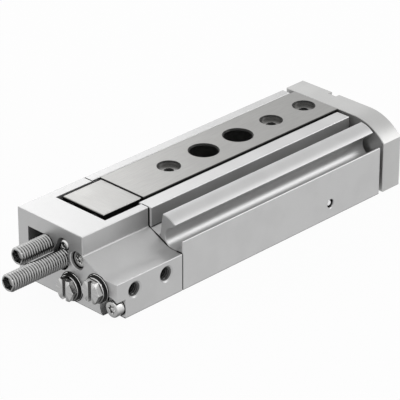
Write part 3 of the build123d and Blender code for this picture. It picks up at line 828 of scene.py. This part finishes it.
class Bench:
    """Builds meshes and hands each to the body that it rides on."""

    def __init__(self, frame: dict[str, Any], paint: Paint) -> None:
        """Keeps the frame and the finishes.

        Args:
            frame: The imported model.
            paint: The finishes.
        """
        self.paint = paint
        rows = frame["record"]["subparts"]
        self.slots = {row["node"]: row["material_slot"] for row in rows}
        bodies = frame["record"]["behaviour"]["bodies"]
        self.bodies = {node: body for body, nodes in bodies.items() for node in nodes}

    def turn(
        self,
        name: str,
        spindle: Spindle,
        sections: Sequence[Section],
        points: int,
        sleeve: bool = False,
    ) -> bpy.types.Object:
        """Skins a closed piece over cross-sections.

        Args:
            name: Name of the piece.
            spindle: The axis.
            sections: The cross-sections in order.
            points: Number of points round each.
            sleeve: Whether the last section joins the first. Otherwise each end is closed by a fan.

        Returns:
            The new object.
        """
        mesh = bmesh.new()
        loops = []
        for section in sections:
            loop = []
            for angle in round_angles(points):
                place = spindle.point(section.along, section.outline(angle), angle)
                loop.append(mesh.verts.new(place))
            loops.append(loop)
        following = loops[1:] + loops[:1] if sleeve else loops[1:]
        for first, second in zip(loops, following):
            skin(mesh, first, second)
        ends = () if sleeve else ((loops[0], sections[0].along), (loops[-1], sections[-1].along))
        for loop, along in ends:
            centre = mesh.verts.new(spindle.point(along, 0.0, 0.0))
            for index in range(points):
                mesh.faces.new((loop[index], loop[(index + 1) % points], centre))
        bmesh.ops.recalc_face_normals(mesh, faces=mesh.faces)
        return finish_mesh(name, mesh)

    def ring(
        self,
        name: str,
        spindle: Spindle,
        profile: Sequence[tuple[float, float]],
        points: int,
    ) -> bpy.types.Object:
        """Turns a closed profile round the axis.

        Args:
            name: Name of the piece.
            spindle: The axis.
            profile: Closed outline as distances along the axis and radii.
            points: Number of points round the axis.

        Returns:
            The new object.
        """
        mesh = bmesh.new()
        loops = []
        for angle in round_angles(points):
            loops.append([mesh.verts.new(spindle.point(along, radius, angle)) for along, radius in profile])
        for first, second in zip(loops, loops[1:] + loops[:1]):
            skin(mesh, first, second)
        bmesh.ops.recalc_face_normals(mesh, faces=mesh.faces)
        return finish_mesh(name, mesh)

    def cut_box(self, piece: bpy.types.Object, low: Point, high: Point) -> None:
        """Cuts a box out of a piece.

        Args:
            piece: The piece.
            low: Lowest corner of the box.
            high: Highest corner of the box.
        """
        mesh = bmesh.new()
        low_corner, high_corner = Vector(low), Vector(high)
        size = high_corner - low_corner
        place = Matrix.Translation((low_corner + high_corner) / 2) @ Matrix.Diagonal((*size, 1.0))
        bmesh.ops.create_cube(mesh, size=1.0, matrix=place)
        data = bpy.data.meshes.new("cutter")
        mesh.to_mesh(data)
        mesh.free()
        cutter = bpy.data.objects.new("cutter", data)
        bpy.context.scene.collection.objects.link(cutter)
        cut = piece.modifiers.new("cut", "BOOLEAN")
        cut.operation = "DIFFERENCE"
        cut.object = cutter
        graph = bpy.context.evaluated_depsgraph_get()
        piece_data = bpy.data.meshes.new_from_object(piece.evaluated_get(graph))
        piece.modifiers.clear()
        piece.data = piece_data
        shade_smooth(piece_data)
        bpy.data.objects.remove(cutter)
        bpy.data.meshes.remove(data)

    def seat(self, piece: bpy.types.Object, node: str, added_finish: str | None = None) -> None:
        """Puts a piece on the body and in the slot of a node.

        Args:
            piece: The piece, in place.
            node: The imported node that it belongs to.
            added_finish: Finish of a piece that is only added to the node. Without it the piece has
                the node's own finish and stands for the node.
        """
        slot = self.slots[node]
        piece.data.materials.clear()
        piece.data.materials.append(self.paint.of(added_finish or slot))
        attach(piece, self.bodies[node])
        if added_finish is None:
            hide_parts(node)
        LOG.info("%s rides on %s in %s", piece.name, self.bodies[node], slot)


@dataclass(frozen=True)
class Thread:
    """A single-start screw thread: its sizes, and its crest and root as shares of the pitch."""

    pitch: float
    depth: float
    crest: float = 0.16
    root: float = 0.18

    def inset(self, along: float, angle: float) -> float:
        """How far the thread's surface lies inside its outer size.

        Args:
            along: Distance along the thread.
            angle: Angle round it.

        Returns:
            The inset.
        """
        phase = (along / self.pitch - angle / (2 * math.pi)) % 1.0
        flank = (1.0 - self.crest - self.root) / 2
        if phase < self.crest:
            share = 0.0
        elif phase < self.crest + flank:
            share = (phase - self.crest) / flank
        elif phase < self.crest + flank + self.root:
            share = 1.0
        else:
            share = (1.0 - phase) / flank
        return self.depth * share

    def outline(self, along: float, outer: float, most: float = math.inf) -> Outline:
        """Outline of the thread's surface at one distance.

        Args:
            along: Distance along the thread.
            outer: Its outer radius there.
            most: Largest inset there, for a thread that runs out.

        Returns:
            Its radius at each angle.
        """
        return lambda angle: outer - min(self.inset(along, angle), most)


@dataclass
class StopScrew:
    """A threaded stop screw with a hexagon socket in its outer end and, on one, a plain shank."""

    bench: Bench
    node: str
    thread_length: float
    shank_radius: float | None = None
    pitch: float = 1.0 * MM
    thread_depth: float = 0.54 * MM
    steps_per_turn: int = 10
    points: int = 60
    socket: float = 2.0 * MM
    socket_depth: float = 2.2 * MM
    socket_tip: float = 0.5 * MM
    bevel: float = 0.5 * MM
    lip: float = 0.1 * MM

    def build(self) -> None:
        """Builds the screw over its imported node."""
        low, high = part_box(self.node)
        outer = (high.x - low.x) / 2
        rim = outer - self.bevel
        wall, mouth = hex_outline(self.socket), hex_outline(self.socket + self.lip)
        sections = DriverSocket(wall, mouth, self.socket_depth, self.socket_tip, self.lip).sections()
        sections.append(Section(0.0, round_outline(rim)))
        thread = Thread(self.pitch, self.thread_depth)
        count = int(self.thread_length / self.pitch * self.steps_per_turn)
        for step in range(1, count):
            along = self.thread_length * step / count
            near_end = min(along, self.thread_length - along)
            sections.append(Section(along, held_in(thread.outline(along, outer), rim + near_end)))
        sections.append(Section(self.thread_length, round_outline(rim)))
        if self.shank_radius is not None:
            length = high.y - low.y
            shank = round_outline(self.shank_radius)
            sections += [
                Section(self.thread_length, shank),
                Section(length - self.lip, shank),
                Section(length, round_outline(self.shank_radius - self.lip)),
            ]
        piece = self.bench.turn(f"{self.node}_threaded", Spindle.through(self.node), sections, self.points)
        self.bench.seat(piece, self.node)


@dataclass
class CapScrew:
    """A cylinder-head screw with rounded head edges and a six-lobed drive."""

    bench: Bench
    node: str
    forward: int = 1
    head_radius: float = 2.75 * MM
    head_height: float = 3.0 * MM
    shank_radius: float = 1.5 * MM
    drive_middle: float = 1.3 * MM
    drive_swing: float = 0.25 * MM
    drive_depth: float = 0.7 * MM
    drive_tip: float = 0.4 * MM
    rounding: float = 0.35 * MM
    rounding_steps: int = 4
    bevel: float = 0.1 * MM
    end_bevel: float = 0.3 * MM
    points: int = 72

    def build(self) -> None:
        """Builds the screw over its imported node."""
        low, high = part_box(self.node)
        length = high.y - low.y
        wall = lobed_outline(self.drive_middle, self.drive_swing)
        mouth = lobed_outline(self.drive_middle + self.bevel, self.drive_swing)
        sections = DriverSocket(wall, mouth, self.drive_depth, self.drive_tip, self.bevel).sections()
        for step in range(self.rounding_steps + 1):
            turn = math.pi / 2 * step / self.rounding_steps
            along = self.rounding * (1 - math.cos(turn))
            radius = self.head_radius - self.rounding * (1 - math.sin(turn))
            sections.append(Section(along, round_outline(radius)))
        sections += [
            Section(self.head_height - self.bevel, round_outline(self.head_radius)),
            Section(self.head_height, round_outline(self.head_radius - self.bevel)),
            Section(self.head_height, round_outline(self.shank_radius)),
            Section(length - self.end_bevel, round_outline(self.shank_radius)),
            Section(length, round_outline(self.shank_radius - self.end_bevel)),
        ]
        spindle = Spindle.through(self.node, self.forward)
        piece = self.bench.turn(f"{self.node}_head", spindle, sections, self.points)
        self.bench.seat(piece, self.node)


@dataclass
class ClampScrew:
    """The small round-head screw between the two stops."""

    bench: Bench
    node: str = "stop_clamp_screw"
    head_radius: float = 2.2 * MM
    head_height: float = 1.7 * MM
    head_flat: float = 1.05 * MM
    head_rim: float = 0.25 * MM
    dome_steps: int = 8
    crown: float = 0.55 * MM
    shank_radius: float = 1.25 * MM
    socket: float = 0.8 * MM
    socket_depth: float = 0.9 * MM
    socket_tip: float = 0.25 * MM
    lip: float = 0.08 * MM
    points: int = 60

    def build(self) -> None:
        """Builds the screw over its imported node, with its head as much prouder as the crown says."""
        low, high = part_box(self.node)
        length = high.y - low.y + self.crown
        height = self.head_height + self.crown
        wall, mouth = hex_outline(self.socket), hex_outline(self.socket + self.lip)
        sections = DriverSocket(wall, mouth, self.socket_depth, self.socket_tip, self.lip).sections()
        for step in range(self.dome_steps + 1):
            turn = math.pi / 2 * step / self.dome_steps
            radius = self.head_flat + (self.head_radius - self.head_flat) * math.sin(turn)
            along = (height - self.head_rim) * (1 - math.cos(turn))
            sections.append(Section(along, round_outline(radius)))
        sections += [
            Section(height, round_outline(self.head_radius)),
            Section(height, round_outline(self.shank_radius)),
            Section(length, round_outline(self.shank_radius)),
        ]
        seat = Spindle.through(self.node)
        spindle = Spindle(seat.start - seat.forward * self.crown)
        piece = self.bench.turn(f"{self.node}_head", spindle, sections, self.points)
        self.bench.seat(piece, self.node)


@dataclass
class BlankingPlug:
    """A hexagon plug with a round flange, a cone-turned face and a slot, and the seal under it."""

    bench: Bench
    place: str
    across_flats: float = 7.0 * MM
    head_height: float = 2.3 * MM
    face_radius: float = 3.7 * MM
    flange_radius: float = 4.15 * MM
    flange_thickness: float = 0.4 * MM
    cone_height: float = 0.25 * MM
    cone_steps: int = 6
    slot_width: float = 1.3 * MM
    slot_depth: float = 1.2 * MM
    shank_radius: float = 2.06 * MM
    seal_inner: float = 2.62 * MM
    rim_thickness: float = 0.5 * MM
    soft: float = 0.1 * MM
    points: int = 96
    ring_points: int = 72

    def build(self) -> None:
        """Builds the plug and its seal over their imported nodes."""
        node = f"blanking_plug_{self.place}"
        low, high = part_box(node)
        spindle = Spindle.through(node)
        hexagon = hex_outline(self.across_flats / 2)
        sections = []
        for step in range(self.cone_steps + 1):
            along = self.cone_height * step / self.cone_steps
            cone = self.face_radius + (self.flange_radius - self.face_radius) * step / self.cone_steps
            sections.append(Section(along, held_in(hexagon, cone)))
        flange = self.head_height - self.flange_thickness
        sections += [
            Section(flange, hexagon),
            Section(flange, round_outline(self.flange_radius - self.soft)),
            Section(flange + self.soft, round_outline(self.flange_radius)),
            Section(self.head_height, round_outline(self.flange_radius)),
            Section(self.head_height, round_outline(self.shank_radius)),
            Section(high.y - low.y, round_outline(self.shank_radius)),
        ]
        plug = self.bench.turn(f"{node}_head", spindle, sections, self.points)
        self._cut_slot(plug, spindle.start)
        self.bench.seat(plug, node)
        self._build_seal()

    def _cut_slot(self, plug: bpy.types.Object, front: Vector) -> None:
        """Cuts the upright slot into the plug's face.

        Args:
            plug: The plug.
            front: Middle of its face.
        """
        half = self.slot_width / 2
        reach = self.across_flats
        self.bench.cut_box(
            plug,
            (front.x - half, front.y - self.head_height, front.z - reach),
            (front.x + half, front.y + self.slot_depth, front.z + reach),
        )

    def _build_seal(self) -> None:
        """Builds the rubber ring and the metal rim that it sits in."""
        node = f"plug_seal_{self.place}"
        low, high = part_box(node)
        spindle = Spindle.through(node)
        thickness = high.y - low.y
        outer = (high.x - low.x) / 2
        rim_start = thickness - self.rim_thickness
        rubber_outer = outer - 2 * self.soft
        rubber = [
            (0.0, self.seal_inner),
            (0.0, rubber_outer - 2 * self.soft),
            (self.soft, rubber_outer - self.soft / 2),
            (2 * self.soft, rubber_outer),
            (rim_start, rubber_outer),
            (rim_start, self.seal_inner),
        ]
        rim = [
            (rim_start, self.seal_inner),
            (rim_start, outer - self.soft),
            (rim_start + self.soft, outer),
            (thickness - self.soft, outer),
            (thickness, outer - self.soft),
            (thickness, self.seal_inner),
        ]
        ring = self.bench.ring(f"{node}_rubber", spindle, rubber, self.ring_points)
        self.bench.seat(ring, node)
        washer = self.bench.ring(f"{node}_rim", spindle, rim, self.ring_points)
        self.bench.seat(washer, f"blanking_plug_{self.place}", "plug_nickel")


@dataclass
class TappedHole:
    """The thread inside a tapped hole, as a thin sleeve on the hole's wall."""

    bench: Bench
    node: str
    finish: str
    pitch: float
    mouth: float = 0.0
    depth: float = 0.28 * MM
    backing: float = 0.03 * MM
    steps_per_turn: int = 8
    points: int = 36

    def build(self, mount: dict[str, Any]) -> None:
        """Builds the sleeve.

        Args:
            mount: The record's row of the hole: its name, the middle of its wall, its way out and its sizes.
        """
        radius = mount["dims"]["r_mm"] * MM
        forward = -Vector(mount["axis"])
        wall_length = mount["dims"]["length_mm"] * MM - 2 * self.backing
        length = wall_length + self.mouth
        start = Vector(mount["pos_m"]) - forward * (wall_length / 2 + self.mouth)
        is_upright = abs(forward.z) > abs(forward.x)
        zero = Vector((1.0, 0.0, 0.0)) if is_upright else Vector((0.0, 0.0, 1.0))
        thread = Thread(self.pitch, self.depth)
        count = int(length / self.pitch * self.steps_per_turn)
        walls, threads = [], []
        for step in range(count + 1):
            along = length * step / count
            wall = radius + max(0.0, self.mouth - along)
            near_end = min(along, length - along)
            walls.append(Section(along, round_outline(wall + self.backing)))
            threads.append(Section(along, thread.outline(along, wall, near_end)))
        sections = walls[::-1] + threads
        name = f"{mount['name']}_thread"
        piece = self.bench.turn(name, Spindle(start, forward, zero), sections, self.points, sleeve=True)
        self.bench.seat(piece, self.node, self.finish)


def tap_holes(bench: Bench, frame: dict[str, Any]) -> None:
    """Threads the tapped holes of the table and the air ports.

    Args:
        bench: The bench that builds the threads.
        frame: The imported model.
    """
    port = TappedHole(bench, "front_cover", "port_thread", PORT_PITCH, PORT_MOUTH)
    table_hole = TappedHole(bench, "slide_table", "table_thread", TABLE_PITCH)
    for mount in frame["record"]["mounts"]:
        if mount["name"].startswith("air_port"):
            port.build(mount)
        elif mount["name"].startswith("table_thread"):
            table_hole.build(mount)


@dataclass(frozen=True)
class SoftLamp:
    """One square lamp that faces the object: its place, its side in metres and its power in watts."""

    name: str
    place: Point
    side: float
    watt: float

    def hang(self, target: Vector) -> None:
        """Adds the lamp.

        Args:
            target: The point that it faces.
        """
        data = bpy.data.lights.new(self.name, "AREA")
        data.shape = "SQUARE"
        data.size = self.side
        data.energy = self.watt
        lamp = bpy.data.objects.new(self.name, data)
        lamp.location = Vector(self.place)
        lamp.rotation_euler = (target - lamp.location).to_track_quat("-Z", "Y").to_euler()
        bpy.context.scene.collection.objects.link(lamp)


@dataclass
class Studio:
    """Floor, lamps, world and camera."""

    target: Point = (0.85 * MM, -16.6 * MM, 12.0 * MM)
    azimuth_deg: float = 44.853
    elevation_deg: float = 27.093
    roll_deg: float = -0.129
    distance: float = 0.853226
    focal_mm: float = 236.44
    sensor_mm: float = 36.0
    shift_x: float = 0.0324
    shift_y: float = -0.0160
    clip_near: float = 0.01
    clip_far: float = 20.0
    floor_size: float = 4.0
    floor_drop: float = 0.02 * MM
    floor_colour: Colour = (0.86, 0.86, 0.86)
    floor_white: float = 0.95
    ambient: float = 0.6
    lamps: tuple[SoftLamp, ...] = (
        SoftLamp("back_right", (0.54, 0.62, 0.53), side=0.4, watt=1.5),
        SoftLamp("back_left", (-0.70, 0.34, 0.49), side=0.44, watt=1.5),
    )

    def build(self) -> None:
        """Builds the whole studio."""
        self._camera()
        self._floor()
        self._world()
        for lamp in self.lamps:
            lamp.hang(Vector(self.target))
        bpy.context.scene.view_settings.view_transform = "Standard"

    def _camera(self) -> None:
        """Places the camera."""
        turn, rise = math.radians(self.azimuth_deg), math.radians(self.elevation_deg)
        back = Vector((
            math.sin(turn) * math.cos(rise),
            -math.cos(turn) * math.cos(rise),
            math.sin(rise),
        ))
        data = bpy.data.cameras.new("camera")
        data.lens = self.focal_mm
        data.sensor_width = self.sensor_mm
        data.sensor_fit = "HORIZONTAL"
        data.shift_x = self.shift_x
        data.shift_y = self.shift_y
        data.clip_start = self.clip_near
        data.clip_end = self.clip_far
        camera = bpy.data.objects.new("camera", data)
        aim = Euler((math.pi / 2 - rise, 0.0, turn)).to_matrix()
        roll = Matrix.Rotation(math.radians(self.roll_deg), 3, "Z")
        camera.matrix_world = (aim @ roll).to_4x4()
        camera.location = Vector(self.target) + back * self.distance
        bpy.context.scene.collection.objects.link(camera)
        bpy.context.scene.camera = camera

    def _floor(self) -> None:
        """Lays a pale floor under the object."""
        mesh = bmesh.new()
        bmesh.ops.create_grid(mesh, x_segments=1, y_segments=1, size=self.floor_size)
        floor = finish_mesh("floor", mesh)
        floor.location.z = -self.floor_drop
        sheet = NodeSheet("pale_floor")
        pale = sheet.node("ShaderNodeBsdfDiffuse", {}, {"Color": (*self.floor_colour, 1.0)})
        white = sheet.node("ShaderNodeEmission", {}, {"Color": WHITE, "Strength": 1.0})
        share = sheet.direct_view() * self.floor_white
        mixed = sheet.node("ShaderNodeMixShader", {}, {0: share, 1: pale.outputs[0], 2: white.outputs[0]})
        sheet.node("ShaderNodeOutputMaterial", {}, {"Surface": mixed.outputs[0]})
        floor.data.materials.append(sheet.material)

    def _world(self) -> None:
        """Gives an even soft light, with white where the background is seen or mirrored."""
        world = bpy.data.worlds.new("studio")
        sheet = NodeSheet.of_world(world)
        soft = sheet.node("ShaderNodeBackground", {}, {"Color": WHITE, "Strength": self.ambient})
        white = sheet.node("ShaderNodeBackground", {}, {"Color": WHITE, "Strength": 1.0})
        share = sheet.direct_view()
        mixed = sheet.node("ShaderNodeMixShader", {}, {0: share, 1: soft.outputs[0], 2: white.outputs[0]})
        sheet.node("ShaderNodeOutputWorld", {}, {"Surface": mixed.outputs[0]})
        bpy.context.scene.world = world


def clear_start_scene() -> None:
    """Removes the objects that a new file starts with."""
    for piece in list(bpy.data.objects):
        bpy.data.objects.remove(piece)


def main() -> None:
    """Builds the looks in order."""
    logging.basicConfig(level=logging.INFO, format="%(name)s: %(message)s")
    clear_start_scene()
    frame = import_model()
    paint = Paint()
    paint.dress_nodes(frame)
    bench = Bench(frame, paint)
    low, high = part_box("retract_stop_screw")
    StopScrew(bench, "retract_stop_screw", high.y - low.y - BUFFER_SEAT).build()
    StopScrew(bench, "extend_stop_screw", EXTEND_THREAD, EXTEND_SHANK_RADIUS).build()
    for node in ("cover_screw_upper", "cover_screw_left", "cover_screw_corner"):
        CapScrew(bench, node).build()
    for node in ("stop_block_screw_left", "stop_block_screw_right"):
        CapScrew(bench, node).build()
    for node in ("yoke_screw_left", "yoke_screw_right", "rod_screw"):
        CapScrew(bench, node, forward=-1).build()
    ClampScrew(bench).build()
    for place in ("inner", "outer"):
        BlankingPlug(bench, place).build()
    tap_holes(bench, frame)
    Studio().build()


if __name__ == "__main__":
    main()
